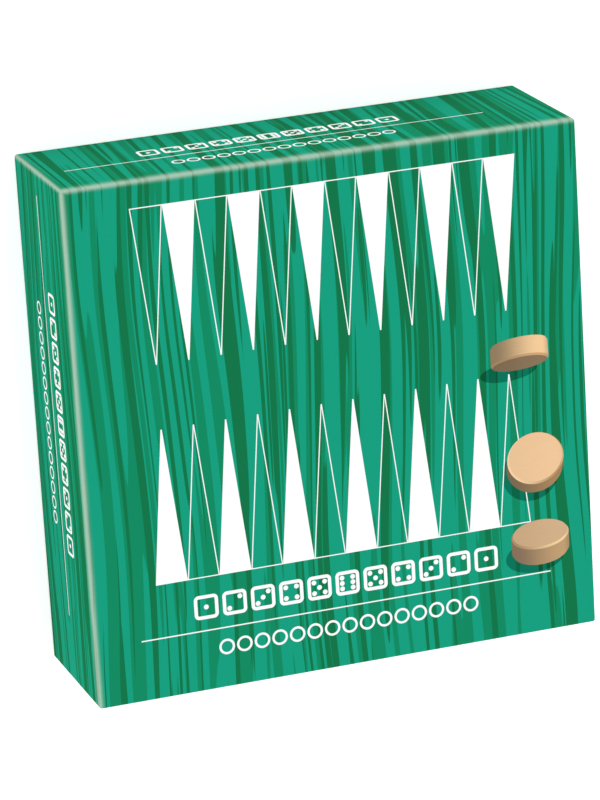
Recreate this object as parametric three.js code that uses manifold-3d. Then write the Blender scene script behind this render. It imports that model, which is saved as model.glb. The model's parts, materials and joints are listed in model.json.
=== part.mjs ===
// A boxed backgammon set. A card box with a full-depth lift-off lid holds a framed wooden board,
// which rests on a moulded insert with the checkers, the dice and the doubling cube.
// A folded rules leaflet lies on the board.
// Millimetres, +Z up. The origin is the centre of the base's underside, and +Y is the head of the cover.

import * as THREE from "three";
import { mergeVertices } from "three/addons/utils/BufferGeometryUtils.js";
import { RoundedBoxGeometry } from "three/addons/geometries/RoundedBoxGeometry.js";
import Module from "manifold-3d";

const wasm = await Module();
wasm.setup();

// Box of paper-wrapped greyboard
const LID_SIDE = 240;
const BOX_DEPTH = 76;
const LID_WALL = 2.2;
const LID_EDGE_RADIUS = 1.4;
const LID_FOOT_GAP = 1;
const LID_SLIDE_CLEARANCE = 0.6;
const BASE_WALL = 2;
const BASE_EDGE_RADIUS = 1;

// Clearances: under a seated or glued face, and beside a piece that drops into the base
const SEAT_GAP = 0.3;
const DROP_IN_CLEARANCE = 1;

// Wooden board: a plywood panel in a mitred frame, with the bar across its middle
const RAIL_WIDTH = 9;
const RAIL_HEIGHT = 16;
const RAIL_ROUND = 1.6;
const PANEL_THICKNESS = 4;
const PANEL_REBATE = 4.5;
const BAR_WIDTH = 9;
const BAR_HEIGHT = 8;
const BAR_ROUND = 1.6;

// Points, six to each quarter of the field; every second one is a veneer let into the panel
const POINTS_PER_QUARTER = 6;
const POINT_LAND = 0.6;
const POINT_FACING_GAP = 34;
const INLAY_THICKNESS = 0.8;
const INLAY_CLEARANCE = 0.1;

// Turned wooden checkers, stored on edge in two rows
const CHECKERS_PER_SIDE = 15;
const CHECKER_DIAMETER = 16;
const CHECKER_THICKNESS = 6;
const CHECKER_EASED_EDGE = 0.9;
const CHECKER_GAP = 0.3;

// Dice and doubling cube
const DIE_SIZE = 12;
const DIE_ROUND = 1.3;
const PIP_DIAMETER = 2.2;
const PIP_DEPTH = 0.5;
const PIP_PITCH = 3.2;
const DOUBLING_CUBE_SIZE = 12;
const DOUBLING_CUBE_ROUND = 1.3;
const DICE_GAP = 2;

// Moulded insert: a skirted tray with a sunk deck, two half-round troughs and a dice well
const INSERT_SHEET = 1;
const INSERT_CORNER = 8;
const INSERT_DRAFT = 2;
const RIM_WIDTH = 12;
const DECK_HEADROOM = 2;
const TROUGH_CLEARANCE = 0.4;
const SCOOP_RADIUS = 9;
const SCOOP_REACH = 13;
const DICE_WELL_DEPTH = 8;
const DICE_WELL_CORNER = 2;
const DECK_LAND = 20;

// Rules leaflet: a sheet folded once, cut to drop between the bar and a rail
const LEAFLET_CLEARANCE = 4.35;
const LEAFLET_LENGTH = 138;
const LEAFLET_PAPER = 0.4;
const LEAFLET_SPREAD = 0.5;

// Facets
const CHECKER_FACETS = 24;
const TROUGH_FACETS = 14;
const EDGE_FACETS = 3;
const PIP_FACETS = 8;
const OVERCUT = 2;

// Sizes that follow: the box
const lidInside = LID_SIDE - 2 * LID_WALL;
const lidUnderside = BOX_DEPTH - LID_WALL;
const baseSide = lidInside - 2 * LID_SLIDE_CLEARANCE;
const baseInside = baseSide - 2 * BASE_WALL;
const baseHeight = lidUnderside - SEAT_GAP;

// Sizes that follow: the board, whose rails reach up to the lid
const boardSide = baseInside - 2 * DROP_IN_CLEARANCE;
const boardBottom = lidUnderside - SEAT_GAP - RAIL_HEIGHT;
const panelSide = boardSide - 2 * (RAIL_WIDTH - PANEL_REBATE + SEAT_GAP);
const panelTop = boardBottom + PANEL_THICKNESS;
const fieldSide = boardSide - 2 * RAIL_WIDTH;
const halfField = (fieldSide - BAR_WIDTH) / 2;
const leafletWidth = halfField - 2 * LEAFLET_CLEARANCE;
const pointsPerRow = 2 * POINTS_PER_QUARTER;
const pointPitch = halfField / POINTS_PER_QUARTER;
const pointWidth = pointPitch - POINT_LAND;
const pointLength = (fieldSide - POINT_FACING_GAP) / 2 - POINT_LAND;
const inlayPocket = INLAY_THICKNESS + INLAY_CLEARANCE;
const inlaidPoints = Array.from({ length: pointsPerRow }, (_, i) => 2 * (i + 1));

// Sizes that follow: the insert, which fills the space between the base's floor and the board
const insertSide = baseInside - 2 * DROP_IN_CLEARANCE;
const insertFoot = BASE_WALL + SEAT_GAP;
const insertRim = boardBottom - SEAT_GAP;
const largestCube = Math.max(DIE_SIZE, DOUBLING_CUBE_SIZE);
const cubeStandsOut = largestCube + SEAT_GAP - DICE_WELL_DEPTH;
const deckDrop = Math.max(CHECKER_DIAMETER / 2, cubeStandsOut) + DECK_HEADROOM;
const deckTop = insertRim - deckDrop;
const deckSide = insertSide - 2 * RIM_WIDTH;
const troughRadius = CHECKER_DIAMETER / 2 + TROUGH_CLEARANCE;
const checkerPitch = CHECKER_THICKNESS + CHECKER_GAP;
const troughLength = CHECKERS_PER_SIDE * checkerPitch + CHECKER_GAP;
const diceWellWidth = largestCube + 2 * DICE_GAP;
const diceWellLength = 2 * DIE_SIZE + DOUBLING_CUBE_SIZE + 4 * DICE_GAP;
const rowOffset = diceWellWidth / 2 + DECK_LAND + SCOOP_REACH + troughRadius;

// Closed solids and the joins and cuts between them

function solidOf(geometry) {
  const bare = geometry.clone();
  bare.deleteAttribute("normal");
  bare.deleteAttribute("uv");
  const merged = mergeVertices(bare, 1e-4);
  return new wasm.Manifold(new wasm.Mesh({
    numProp: 3,
    vertProperties: merged.attributes.position.array,
    triVerts: new Uint32Array(merged.index.array),
  }));
}

function geometryOf(solid) {
  const { vertProperties, triVerts } = solid.getMesh();
  const geometry = new THREE.BufferGeometry();
  geometry.setAttribute("position", new THREE.BufferAttribute(new Float32Array(vertProperties), 3));
  geometry.setIndex(new THREE.BufferAttribute(new Uint32Array(triVerts), 1));
  geometry.computeVertexNormals();
  return geometry;
}

// A plain square block between two heights
function block(side, low, high) {
  return new THREE.BoxGeometry(side, side, high - low).translate(0, 0, (low + high) / 2);
}

function roundedRectangle(width, height, radius) {
  const right = width / 2;
  const top = height / 2;
  const shape = new THREE.Shape();
  shape.absarc(right - radius, top - radius, radius, 0, Math.PI / 2);
  shape.absarc(radius - right, top - radius, radius, Math.PI / 2, Math.PI);
  shape.absarc(radius - right, radius - top, radius, Math.PI, 1.5 * Math.PI);
  shape.absarc(right - radius, radius - top, radius, 1.5 * Math.PI, 2 * Math.PI);
  shape.closePath();
  return shape;
}

// A rounded rectangle raised between two heights; its walls lean in by the draft towards the top
function draftedBlock(width, height, radius, low, high, draft) {
  const geometry = new THREE.ExtrudeGeometry(roundedRectangle(width, height, radius), {
    depth: high - low,
    bevelEnabled: false,
    curveSegments: EDGE_FACETS,
  }).translate(0, 0, low);
  const point = new THREE.Vector3();
  const position = geometry.attributes.position;
  for (let i = 0; i < position.count; i += 1) {
    point.fromBufferAttribute(position, i);
    const lean = 2 * draft * (point.z - low) / (high - low);
    position.setXY(i, point.x * (1 - lean / width), point.y * (1 - lean / height));
  }
  return geometry;
}

// A profile drawn across and up, run along the third direction and centred on it
function run(shape, length, across, up, facets) {
  const along = new THREE.Vector3().crossVectors(across, up);
  const basis = new THREE.Matrix4().makeBasis(across, up, along);
  return new THREE.ExtrudeGeometry(shape, { depth: length, bevelEnabled: false, curveSegments: facets })
    .translate(0, 0, -length / 2)
    .applyMatrix4(basis);
}

const X = new THREE.Vector3(1, 0, 0);
const Y = new THREE.Vector3(0, 1, 0);
const Z = new THREE.Vector3(0, 0, 1);

// Lid: one wrapped tray turned over, its skirt as deep as the box
function lidShell() {
  const hidden = 2 * LID_EDGE_RADIUS;
  const depth = BOX_DEPTH - LID_FOOT_GAP + hidden;
  const outside = new RoundedBoxGeometry(LID_SIDE, LID_SIDE, depth, EDGE_FACETS, LID_EDGE_RADIUS);
  outside.translate(0, 0, BOX_DEPTH - depth / 2);
  const below = block(LID_SIDE + OVERCUT, LID_FOOT_GAP - hidden - OVERCUT, LID_FOOT_GAP);
  const inside = block(lidInside, LID_FOOT_GAP - OVERCUT, lidUnderside);
  return geometryOf(solidOf(outside).subtract(solidOf(below)).subtract(solidOf(inside)));
}

// Base: a wrapped tray whose wall tops carry the lid
function baseTray() {
  const hidden = 2 * BASE_EDGE_RADIUS;
  const depth = baseHeight + hidden;
  const outside = new RoundedBoxGeometry(baseSide, baseSide, depth, EDGE_FACETS, BASE_EDGE_RADIUS);
  outside.translate(0, 0, depth / 2);
  const above = block(baseSide + OVERCUT, baseHeight, baseHeight + hidden + OVERCUT);
  const inside = block(baseInside, BASE_WALL, baseHeight + OVERCUT);
  return geometryOf(solidOf(outside).subtract(solidOf(above)).subtract(solidOf(inside)));
}

// Frame rail along the board's foot: a moulding with a rebate for the panel, mitred at both ends
function railGeometry() {
  const seat = RAIL_WIDTH - PANEL_REBATE;
  const shoulder = PANEL_THICKNESS + SEAT_GAP;
  const crown = RAIL_HEIGHT - RAIL_ROUND;
  const profile = new THREE.Shape();
  profile.moveTo(0, 0);
  profile.lineTo(seat, 0);
  profile.lineTo(seat, shoulder);
  profile.lineTo(RAIL_WIDTH, shoulder);
  profile.absarc(RAIL_WIDTH - RAIL_ROUND, crown, RAIL_ROUND, 0, Math.PI / 2);
  profile.absarc(RAIL_ROUND, crown, RAIL_ROUND, Math.PI / 2, Math.PI);
  profile.closePath();
  const geometry = run(profile, boardSide, Y, Z, EDGE_FACETS);
  const position = geometry.attributes.position;
  const glueLine = SEAT_GAP * Math.SQRT1_2;
  for (let i = 0; i < position.count; i += 1) {
    const inward = position.getY(i);
    position.setX(i, Math.sign(position.getX(i)) * (boardSide / 2 - inward - glueLine));
  }
  return geometry.translate(0, -boardSide / 2, 0);
}

// Bar: a strip with eased edges, glued on the panel between the head and foot rails
function barGeometry() {
  const profile = new THREE.Shape();
  profile.moveTo(-BAR_WIDTH / 2, 0);
  profile.lineTo(BAR_WIDTH / 2, 0);
  profile.absarc(BAR_WIDTH / 2 - BAR_ROUND, BAR_HEIGHT - BAR_ROUND, BAR_ROUND, 0, Math.PI / 2);
  profile.absarc(BAR_ROUND - BAR_WIDTH / 2, BAR_HEIGHT - BAR_ROUND, BAR_ROUND, Math.PI / 2, Math.PI);
  profile.closePath();
  return run(profile, fieldSide - 2 * SEAT_GAP, X, Z, EDGE_FACETS);
}

// A point with its sides drawn in by an inset, raised to a height from z = 0
function pointGeometry(inset, height) {
  const half = pointWidth / 2;
  const inradius = half * pointLength / (half + Math.hypot(half, pointLength));
  const share = 1 - inset / inradius;
  const shape = new THREE.Shape();
  shape.moveTo(-half * share, inset);
  shape.lineTo(half * share, inset);
  shape.lineTo(0, inset + pointLength * share);
  shape.closePath();
  return new THREE.ExtrudeGeometry(shape, { depth: height, bevelEnabled: false });
}

// Where a point's base line has its middle, and its turn; 1 is at the foot's right end, 24 at the head's
function pointPlace(number) {
  const isAtFoot = number <= pointsPerRow;
  const column = isAtFoot ? pointsPerRow - number : number - pointsPerRow - 1;
  const isLeft = column < POINTS_PER_QUARTER;
  const start = isLeft ? -BAR_WIDTH / 2 - halfField : BAR_WIDTH / 2;
  const x = start + (column % POINTS_PER_QUARTER + 0.5) * pointPitch;
  const y = fieldSide / 2 - POINT_LAND;
  return isAtFoot ? { x, y: -y, turn: 0 } : { x, y, turn: Math.PI };
}

// Panel: plywood with a pocket for each inlaid point
function panelGeometry() {
  let solid = solidOf(block(panelSide, 0, PANEL_THICKNESS));
  for (const number of inlaidPoints) {
    const { x, y, turn } = pointPlace(number);
    const pocket = pointGeometry(0, inlayPocket + OVERCUT)
      .rotateZ(turn)
      .translate(x, y, PANEL_THICKNESS - inlayPocket);
    solid = solid.subtract(solidOf(pocket));
  }
  return geometryOf(solid);
}

// Leaflet: two leaves joined by a round fold, open on its right
function leafletGeometry() {
  const inner = LEAFLET_SPREAD / 2;
  const outer = inner + LEAFLET_PAPER;
  const spine = outer - leafletWidth / 2;
  const edge = leafletWidth / 2;
  const profile = new THREE.Shape();
  profile.moveTo(edge, outer);
  profile.absarc(spine, 0, outer, Math.PI / 2, 1.5 * Math.PI);
  profile.lineTo(edge, -outer);
  profile.lineTo(edge, -inner);
  profile.absarc(spine, 0, inner, 1.5 * Math.PI, Math.PI / 2, true);
  profile.lineTo(edge, inner);
  profile.closePath();
  return run(profile, LEAFLET_LENGTH, X, Z, EDGE_FACETS).translate(0, 0, outer);
}

// Checker: a turned disc with eased edges, its axis along Y
function checkerGeometry() {
  const radius = CHECKER_DIAMETER / 2;
  const half = CHECKER_THICKNESS / 2;
  const profile = [
    new THREE.Vector2(0, -half),
    new THREE.Vector2(radius - CHECKER_EASED_EDGE, -half),
    new THREE.Vector2(radius, CHECKER_EASED_EDGE - half),
    new THREE.Vector2(radius, half - CHECKER_EASED_EDGE),
    new THREE.Vector2(radius - CHECKER_EASED_EDGE, half),
    new THREE.Vector2(0, half),
  ];
  return new THREE.LatheGeometry(profile, CHECKER_FACETS);
}

// Places of the pips of one die face, in steps of the pip pitch
function pipPlaces(value) {
  const corners = [[-1, -1], [1, 1], [-1, 1], [1, -1]];
  const sides = [[-1, 0], [1, 0]];
  const places = value % 2 ? [[0, 0]] : [];
  places.push(...corners.slice(0, 2 * Math.floor(value / 2)));
  return value === 6 ? places.concat(sides) : places;
}

// Die: a rounded cube with drilled pips, opposite faces adding up to seven
function dieGeometry() {
  const cube = new RoundedBoxGeometry(DIE_SIZE, DIE_SIZE, DIE_SIZE, EDGE_FACETS - 1, DIE_ROUND);
  const drill = (PIP_DIAMETER ** 2 / 4 + PIP_DEPTH ** 2) / (2 * PIP_DEPTH);
  const quarter = Math.PI / 2;
  const faces = [
    [1, X, 0], [6, X, 2 * quarter],
    [2, X, quarter], [5, X, -quarter],
    [3, Y, quarter], [4, Y, -quarter],
  ];
  let solid = solidOf(cube);
  for (const [value, axis, angle] of faces) {
    for (const [column, row] of pipPlaces(value)) {
      const pip = new THREE.SphereGeometry(drill, PIP_FACETS, PIP_FACETS - 2)
        .rotateX(quarter)
        .translate(column * PIP_PITCH, row * PIP_PITCH, DIE_SIZE / 2 + drill - PIP_DEPTH)
        .applyMatrix4(new THREE.Matrix4().makeRotationAxis(axis, angle));
      solid = solid.subtract(solidOf(pip));
    }
  }
  return geometryOf(solid);
}

function doublingCubeGeometry() {
  const size = DOUBLING_CUBE_SIZE;
  return new RoundedBoxGeometry(size, size, size, EDGE_FACETS - 1, DOUBLING_CUBE_ROUND);
}

// Half-round channel in the deck, its axis at deck height; it stops at the brim, above or below that
function channel(radius, length, brim, across, x) {
  const dip = Math.asin(Math.max(0, -brim) / radius);
  const profile = new THREE.Shape();
  profile.absarc(0, 0, radius, Math.PI + dip, 2 * Math.PI - dip);
  if (brim > 0) {
    profile.lineTo(radius, brim);
    profile.lineTo(-radius, brim);
  }
  profile.closePath();
  return run(profile, length, across, Z, TROUGH_FACETS).translate(x, 0, deckTop);
}

// Insert: drafted skirt and rim, a sunk deck, and cups of the same sheet under each trough and well
function insertTray() {
  const sheet = INSERT_SHEET;
  const slopeIn = INSERT_DRAFT * deckDrop / (insertRim - insertFoot);
  const outside = draftedBlock(insertSide, insertSide, INSERT_CORNER, insertFoot, insertRim, INSERT_DRAFT);
  const hollowSide = insertSide - 2 * sheet;
  const hollow = draftedBlock(
    hollowSide, hollowSide, INSERT_CORNER - sheet, insertFoot - OVERCUT, insertRim - sheet, INSERT_DRAFT,
  );
  const tubSide = deckSide + 2 * sheet;
  const tub = draftedBlock(tubSide, tubSide, INSERT_CORNER, deckTop - sheet, insertRim, -slopeIn);
  const deckSpace = draftedBlock(
    deckSide, deckSide, INSERT_CORNER - sheet, deckTop, insertRim + OVERCUT, -slopeIn,
  );
  let solid = solidOf(outside).subtract(solidOf(hollow)).add(solidOf(tub)).subtract(solidOf(deckSpace));

  const inPlate = -sheet / 2;
  const scoopLength = 2 * (troughRadius + SCOOP_REACH);
  for (const x of [-rowOffset, rowOffset]) {
    const troughCup = channel(troughRadius + sheet, troughLength + 2 * sheet, inPlate, X, x);
    const scoopCup = channel(SCOOP_RADIUS + sheet, scoopLength + 2 * sheet, inPlate, Y, x);
    const trough = channel(troughRadius, troughLength, OVERCUT, X, x);
    const scoop = channel(SCOOP_RADIUS, scoopLength, OVERCUT, Y, x);
    solid = solid.add(solidOf(troughCup)).add(solidOf(scoopCup));
    solid = solid.subtract(solidOf(trough)).subtract(solidOf(scoop));
  }
  const wellFloor = deckTop - DICE_WELL_DEPTH;
  const well = draftedBlock(
    diceWellWidth, diceWellLength, DICE_WELL_CORNER, wellFloor, deckTop + OVERCUT, 0,
  );
  const wellCup = draftedBlock(
    diceWellWidth + 2 * sheet, diceWellLength + 2 * sheet, DICE_WELL_CORNER + sheet,
    wellFloor - sheet, deckTop + inPlate, 0,
  );
  return geometryOf(solid.add(solidOf(wellCup)).subtract(solidOf(well)));
}

// Finishes
function finish(color, roughness) {
  return new THREE.MeshStandardMaterial({ color, roughness, metalness: 0 });
}

const PRINTED_WRAP = finish("#178a62", 0.45);
const PLAIN_WRAP = finish("#157549", 0.6);
const STAINED_PANEL = finish("#189e7e", 0.5);
const WHITE_VENEER = finish("#f1eee6", 0.5);
const BEECH = finish("#d9b184", 0.55);
const LIGHT_BEECH = finish("#edc698", 0.55);
const DARK_BEECH = finish("#5a3820", 0.5);
const WHITE_SHEET = finish("#ecebe4", 0.5);
const PAPER = finish("#f4f1e8", 0.8);
const IVORY_RESIN = finish("#f2ead6", 0.3);

// Assembly
const set = new THREE.Group();

function place(parent, name, geometry, material, x, y, z) {
  const mesh = new THREE.Mesh(geometry, material);
  mesh.name = name;
  mesh.position.set(x, y, z);
  parent.add(mesh);
  return mesh;
}

place(set, "base_tray", baseTray(), PLAIN_WRAP, 0, 0, 0);
place(set, "lid_shell", lidShell(), PRINTED_WRAP, 0, 0, 0);
place(set, "insert_tray", insertTray(), WHITE_SHEET, 0, 0, 0);

const board = new THREE.Group();
board.position.z = boardBottom;
set.add(board);
place(board, "board_panel", panelGeometry(), STAINED_PANEL, 0, 0, 0);
for (const number of inlaidPoints) {
  const { x, y, turn } = pointPlace(number);
  const name = `board_point_${String(number).padStart(2, "0")}`;
  const inlay = pointGeometry(INLAY_CLEARANCE, INLAY_THICKNESS);
  place(board, name, inlay, WHITE_VENEER, x, y, PANEL_THICKNESS - INLAY_THICKNESS).rotation.z = turn;
}
place(board, "board_bar", barGeometry(), BEECH, 0, 0, PANEL_THICKNESS + SEAT_GAP);
["foot", "right", "head", "left"].forEach((side, turn) => {
  place(board, `board_rail_${side}`, railGeometry(), BEECH, 0, 0, 0).rotation.z = turn * Math.PI / 2;
});

// The leaflet lies on the left half of the field, midway between the bar and the left rail
const leafletX = -(BAR_WIDTH + halfField) / 2;
place(set, "rules_leaflet", leafletGeometry(), PAPER, leafletX, 0, panelTop + SEAT_GAP);

// One row of checkers lies in each trough, lowered onto its floor
const checkerZ = deckTop + SEAT_GAP - TROUGH_CLEARANCE;
for (const [name, side, wood] of [["light", -1, LIGHT_BEECH], ["dark", 1, DARK_BEECH]]) {
  for (let i = 0; i < CHECKERS_PER_SIDE; i += 1) {
    const y = (i - (CHECKERS_PER_SIDE - 1) / 2) * checkerPitch;
    const number = String(i + 1).padStart(2, "0");
    place(set, `${name}_checker_${number}`, checkerGeometry(), wood, side * rowOffset, y, checkerZ);
  }
}

// The dice lie at both ends of their well, with the doubling cube between them
const wellSeat = deckTop - DICE_WELL_DEPTH + SEAT_GAP;
const dieY = (DOUBLING_CUBE_SIZE + DIE_SIZE) / 2 + DICE_GAP;
place(set, "die_1", dieGeometry(), IVORY_RESIN, 0, -dieY, wellSeat + DIE_SIZE / 2);
place(set, "die_2", dieGeometry(), IVORY_RESIN, 0, dieY, wellSeat + DIE_SIZE / 2);
place(set, "doubling_cube", doublingCubeGeometry(), IVORY_RESIN, 0, 0, wellSeat + DOUBLING_CUBE_SIZE / 2);

export default set;
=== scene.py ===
import json
import math
import random

import bmesh
import bpy
from mathutils import Matrix, Vector
from mathutils.geometry import convex_hull_2d

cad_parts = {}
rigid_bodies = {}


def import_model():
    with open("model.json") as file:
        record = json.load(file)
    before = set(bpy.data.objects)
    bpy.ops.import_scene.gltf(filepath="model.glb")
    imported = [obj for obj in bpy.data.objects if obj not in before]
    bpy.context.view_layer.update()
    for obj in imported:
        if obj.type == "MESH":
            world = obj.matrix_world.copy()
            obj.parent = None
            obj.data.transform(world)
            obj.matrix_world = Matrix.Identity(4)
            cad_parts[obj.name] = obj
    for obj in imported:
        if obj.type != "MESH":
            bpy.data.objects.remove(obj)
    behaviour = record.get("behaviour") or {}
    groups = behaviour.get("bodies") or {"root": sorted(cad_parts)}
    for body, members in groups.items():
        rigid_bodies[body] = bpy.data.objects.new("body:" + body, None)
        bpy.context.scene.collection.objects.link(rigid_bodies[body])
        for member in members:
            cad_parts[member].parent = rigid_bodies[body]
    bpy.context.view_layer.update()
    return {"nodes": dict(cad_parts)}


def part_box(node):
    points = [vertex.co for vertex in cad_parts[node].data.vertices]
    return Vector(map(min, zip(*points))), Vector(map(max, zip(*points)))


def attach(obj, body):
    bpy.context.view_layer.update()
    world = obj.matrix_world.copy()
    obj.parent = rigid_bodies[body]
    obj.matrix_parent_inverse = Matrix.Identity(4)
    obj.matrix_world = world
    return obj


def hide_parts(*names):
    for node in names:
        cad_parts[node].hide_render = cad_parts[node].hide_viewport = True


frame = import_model()

bl_info = {
    "name": "Boxed Backgammon Set",
    "version": (1, 0, 0),
    "blender": (4, 5, 0),
    "location": "3D View > Sidebar > Backgammon",
    "description": "Dresses a boxed backgammon set: printed lid, base, wooden board, insert and pieces",
    "category": "Object",
}

MM = 0.001
CHECKER_NODES = sorted(name for name in frame["nodes"] if "_checker_" in name)
DIE_NODES = ["die_1", "die_2"]
RAIL_SIDES = ("foot", "right", "head", "left")
POINT_NODES = sorted(name for name in frame["nodes"] if "_point_" in name)
POINTS_PER_ROW = 12
# Vertices that are nearer than this are merged, and faces that bend less than this are joined up
MERGE_DISTANCE = 0.002 * MM
FLAT_WITHIN = math.radians(0.5)
# Large faces set the shading beside a rounded edge
LARGE_FACE_WEIGHT = 100


def node_box(node):
    """Lowest and highest corner of a CAD node, as vectors."""
    low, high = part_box(node)
    return Vector(low), Vector(high)


def linear(code):
    """An sRGB hex colour as linear red, green, blue."""
    channels = [int(code[i:i + 2], 16) / 255 for i in (1, 3, 5)]
    return tuple(c / 12.92 if c <= 0.04045 else ((c + 0.055) / 1.055) ** 2.4 for c in channels)


def length(name, description, millimetres):
    """A length property that is written in millimetres."""
    return bpy.props.FloatProperty(
        name=name, description=description, default=millimetres * MM, unit="LENGTH", precision=5,
    )


def colour(name, description, code):
    """A colour property that is written as an sRGB hex value."""
    return bpy.props.FloatVectorProperty(
        name=name, description=description, default=linear(code), subtype="COLOR", min=0, max=1,
    )


class SetSizes(bpy.types.PropertyGroup):
    """Sizes of the finish: edges, paper, and the layout of the print."""

    edge_radius: length("Lid edge", "Radius of the lid's wrapped edges", 1.4)
    lid_wall: length("Lid wall", "Thickness of the lid's wrapped board", 2.2)
    base_wall: length("Base wall", "Thickness of the base's wrapped board", 2.0)
    lid_corner: length("Lid corner", "Radius of the lid's upright edges", 1.1)
    base_radius: length("Base edge", "Radius of the base's wrapped edges", 1.0)
    base_corner: length("Base corner", "Radius of the base's upright edges", 1.4)
    turn_in: length("Turn-in", "How far the wrap is folded in", 16)
    paper: length("Wrap paper", "How far the turn-in stands off the lining", 0.15)
    relief: length("Ink relief", "Height of all ink layers together", 0.1)
    point_pitch: length("Point pitch", "Width of a printed point", 15)
    point_length: length("Point length", "Length of a printed point", 72)
    point_line: length("Point line", "Width of the line round an open point", 0.47)
    point_tip: length("Point tip", "Width of a printed point's blunt tip", 0.6)
    field_head: length("Field head", "Upper base line above the cover's centre", 108)
    field_foot: length("Field foot", "Lower base line above the cover's centre", -66)
    rule_length: length("Rule length", "Length of the thin rules", 197)
    rule_line: length("Rule line", "Width of the thin rules", 0.57)
    cover_dice: length("Cover dice row", "Dice row above the cover's centre", -80)
    cover_rule: length("Cover rule", "Rule above the cover's centre", -91.2)
    cover_rings: length("Cover ring row", "Ring row above the cover's centre", -100.4)
    die_face: length("Printed die", "Side of a printed die", 11.4)
    die_line: length("Printed die line", "Line round a printed die", 1.6)
    die_pitch: length("Printed die pitch", "Step between printed dice", 13.46)
    ring_size: length("Printed ring", "Diameter of a printed ring", 7.4)
    ring_line: length("Ring line", "Line of a printed ring", 1.05)
    ring_pitch: length("Ring pitch", "Step between printed rings", 8.4)
    side_shift: length("Side print shift", "Shift of the sides' print off centre", -10)
    side_dice: length("Side dice row", "Dice row above a side's middle", 7.4)
    side_rule: length("Side rule", "Rule above a side's middle", -4)
    side_rings: length("Side ring row", "Ring row above a side's middle", -14.8)
    side_scale: bpy.props.FloatProperty(
        name="Side print scale", description="Size of a side's rows against the cover's", default=0.84,
    )
    eased_edge: length("Eased edge", "Radius of the edges of the board's rails and bar", 0.35)
    formed_edge: length("Formed edge", "Radius of the insert's edges", 0.4)
    turned_edge: length("Turned edge", "Radius of the checkers' edges", 1.0)
    number_size: length("Numbers", "Size of the doubling cube's numbers", 6.2)


class SetColours(bpy.types.PropertyGroup):
    """Colours of the finish."""

    grain_light: colour("Grain, light", "Ground of the printed grain", "#189e7e")
    grain_mid: colour("Grain, middle", "Middle streaks of the printed grain", "#158a62")
    grain_dark: colour("Grain, dark", "Dark streaks of the printed grain", "#157549")
    # Painted highlight: this pale colour, laid only along the lid's left and head edges, stands in for light
    # on them
    painted_highlight_tone: colour("Edge", "Paper that shows pale along the lid's edges", "#a7c4b0")
    ink_white: colour("White ink", "White line work", "#ffffff")
    base_paper: colour("Base paper", "Plain wrap of the base", "#157549")
    lining: colour("Lining", "White lining of lid and base", "#e9e6dd")
    beech: colour("Beech", "Oiled beech of the frame", "#d3a878")
    light_checker: colour("Light checkers", "Natural beech", "#e6bd8c")
    dark_checker: colour("Dark checkers", "Dark-stained beech", "#55341f")
    stain: colour("Stained field", "Green stain of the board's panel", "#1d8f70")
    veneer: colour("Veneer", "Bleached veneer of the inlaid points", "#efece2")
    sheet: colour("Insert", "Vacuum-formed white sheet", "#e6e4dc")
    resin: colour("Dice", "Ivory resin", "#efe5cd")
    pip: colour("Pips", "Black paint in the pips", "#1c1a18")
    leaf: colour("Leaflet", "Uncoated paper", "#f1eee4")
    floor: colour("Floor", "Plain floor", "#fbfbfb")


# Shader and mesh helpers

def chosen(context):
    """The sizes and the colours that are set."""
    return context.scene.set_sizes, context.scene.set_colours


def add(tree, kind, inputs=None, **settings):
    """Adds a node with its settings; an input that is a socket is linked, and any other is set."""
    node = tree.nodes.new(kind)
    for name, value in settings.items():
        setattr(node, name, value)
    for key, value in (inputs or {}).items():
        if isinstance(value, bpy.types.NodeSocket):
            tree.links.new(value, node.inputs[key])
        else:
            node.inputs[key].default_value = value
    return node


def rgba(tone, share=1.0):
    """A share of a colour, with full opacity, for a colour socket."""
    return (*(min(1.0, channel * share) for channel in tone), 1.0)


def new_material(name, roughness, ior=1.5, specular=0.5):
    """An empty material with its surface shader, and the tree to draw in."""
    material = bpy.data.materials.new(name)
    material.use_nodes = True
    tree = material.node_tree
    shader = tree.nodes["Principled BSDF"]
    shader.inputs["Roughness"].default_value = roughness
    shader.inputs["IOR"].default_value = ior
    shader.inputs["Specular IOR Level"].default_value = specular
    return material, tree, shader


def linked(name, data):
    """A new object of the scene for a mesh, curve, lamp or camera."""
    item = bpy.data.objects.new(name, data)
    bpy.context.scene.collection.objects.link(item)
    return item


def new_piece(name, mesh, *materials):
    """A scene object at the origin for a finished mesh."""
    if mesh.materials:
        mesh.materials.clear()
    for material in materials:
        mesh.materials.append(material)
    return linked(name, mesh)


def mesh_of(name, bm):
    """A mesh from a bmesh, which is freed."""
    mesh = bpy.data.meshes.new(name)
    bm.to_mesh(mesh)
    bm.free()
    return mesh


def smooth(mesh, degrees):
    """Shades a mesh smooth, but for edges sharper than the angle."""
    mesh.polygons.foreach_set("use_smooth", [True] * len(mesh.polygons))
    mesh.set_sharp_from_angle(angle=math.radians(degrees))


def evaluated_mesh(holder):
    """The finished mesh of an object with modifiers or a curve; the object is removed."""
    graph = bpy.context.evaluated_depsgraph_get()
    mesh = bpy.data.meshes.new_from_object(holder.evaluated_get(graph))
    bpy.data.batch_remove((holder, holder.data))
    return mesh


def joined(name, meshes):
    """One mesh from several, which are removed."""
    bm = bmesh.new()
    for mesh in meshes:
        bm.from_mesh(mesh)
        bpy.data.meshes.remove(mesh)
    return mesh_of(name, bm)


def copied_node(node, dissolve=True):
    """A copy of a CAD node's mesh with its triangles joined up."""
    bm = bmesh.new()
    bm.from_mesh(frame["nodes"][node].data)
    bmesh.ops.remove_doubles(bm, verts=bm.verts, dist=MERGE_DISTANCE)
    if dissolve:
        bmesh.ops.dissolve_limit(bm, angle_limit=FLAT_WITHIN, verts=bm.verts, edges=bm.edges)
    return bm


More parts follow.
